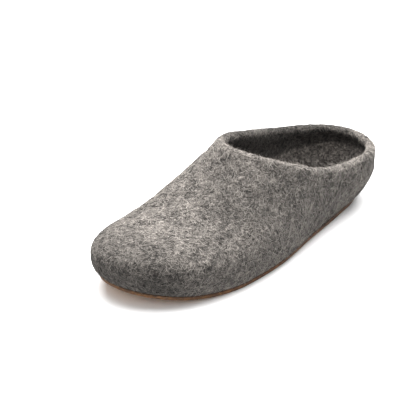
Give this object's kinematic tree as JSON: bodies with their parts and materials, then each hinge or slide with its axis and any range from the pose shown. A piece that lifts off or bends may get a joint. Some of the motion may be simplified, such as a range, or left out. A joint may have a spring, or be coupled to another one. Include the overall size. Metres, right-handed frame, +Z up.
{
  "type": "slipper",
  "caption": "Slip-on house slipper for a left foot: a hollow moulded wool felt shell with a rounded collar and low heel, a felt insole and a thin leather outsole.",
  "frame": {"origin": "centre of the bounding box in plan, at the height of the outsole's two flat spots, where it stands", "axes": "-Y towards the toe, +Y towards the heel, +X towards the outer (lateral) side of the left foot, +Z up"},
  "size_m": [0.104, 0.27, 0.0761],
  "materials": {
    "grey_felt": "matt, fuzzy, mottled light and dark grey wool",
    "insole_felt": "matt, fuzzy, dark grey wool",
    "sole_leather": "matt tan leather with a raw cut edge"
  },
  "bodies": {
    "root": {"upper": "grey_felt", "insole": "insole_felt", "outsole": "sole_leather"}
  },
  "joints": []
}
